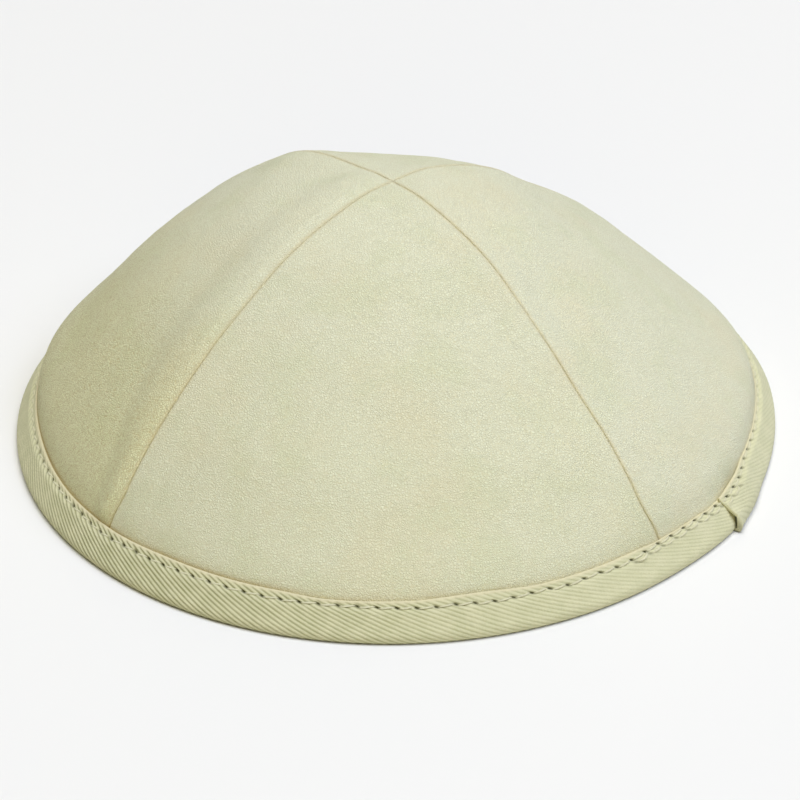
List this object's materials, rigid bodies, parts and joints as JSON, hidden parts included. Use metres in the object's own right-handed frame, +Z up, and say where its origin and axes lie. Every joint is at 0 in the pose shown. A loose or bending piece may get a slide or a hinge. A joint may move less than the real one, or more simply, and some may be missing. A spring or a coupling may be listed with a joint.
{
  "type": "kippah skullcap",
  "caption": "Shallow domed skullcap of sewn faux-suede panels meeting at the crown, its rim bound with a folded, topstitched twill tape; worn on the crown of the head.",
  "frame": {"origin": "middle of the rim, on the surface that the cap rests on", "axes": "+Z up through the crown, -Y towards the front panel, +X towards the right panel"},
  "size_m": [0.18, 0.18, 0.0639],
  "materials": {
    "panel_suede": "cream faux suede, mottled, fine pebble grain, matt",
    "rim_twill": "cream cotton twill tape, diagonal ribs, topstitched"
  },
  "bodies": {
    "root": {"panel_front": "panel_suede", "panel_right": "panel_suede", "panel_back": "panel_suede", "panel_left": "panel_suede", "rim_tape": "rim_twill"}
  },
  "joints": []
}
